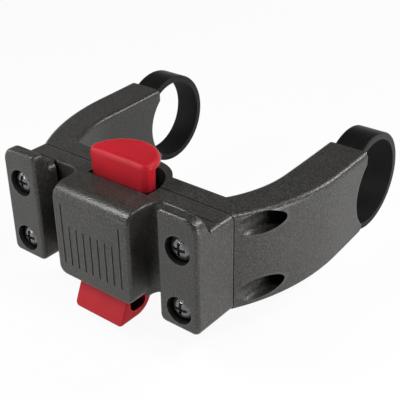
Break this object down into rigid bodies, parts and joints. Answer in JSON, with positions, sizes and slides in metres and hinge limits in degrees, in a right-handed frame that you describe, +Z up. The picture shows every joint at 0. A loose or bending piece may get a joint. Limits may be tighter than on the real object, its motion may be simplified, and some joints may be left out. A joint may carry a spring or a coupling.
{
  "type": "handlebar bag mount",
  "caption": "Clip-on bag mount for a bicycle handlebar: flanged front housing with a sprung push-down latch and hook, on a forked yoke whose arms end in clamp bands.",
  "frame": {"origin": "on the handlebar's axis, midway between the clamp bands", "axes": "+X along the handlebar to the right as seen from the front, +Y back towards the rider, +Z up"},
  "size_m": [0.1104, 0.1095, 0.0558],
  "materials": {
    "black_plastic": "fine spark-eroded grain, matte",
    "band_plastic": "smooth satin",
    "red_plastic": "satin gloss",
    "dark_steel": "blackened",
    "zinc_steel": "zinc plated",
    "spring_steel": "drawn wire"
  },
  "bodies": {
    "frame": {"front_housing": "black_plastic", "rear_yoke": "black_plastic", "left_clamp_band": "band_plastic", "right_clamp_band": "band_plastic", "left_clamp_screws": "zinc_steel", "right_clamp_screws": "zinc_steel", "left_barrel_nuts": "zinc_steel", "right_barrel_nuts": "zinc_steel", "housing_screws": "dark_steel", "latch_spring": "spring_steel"},
    "latch": {"release_latch": "red_plastic"}
  },
  "joints": [
    {"name": "latch_press", "type": "slide", "parent": "frame", "child": "latch", "axis": [0, 0, -1], "range_m": [0, 0.0065], "stiffness_N_per_m": 1900, "springref_m": -0.003, "deforming": ["latch_spring"]}
  ]
}
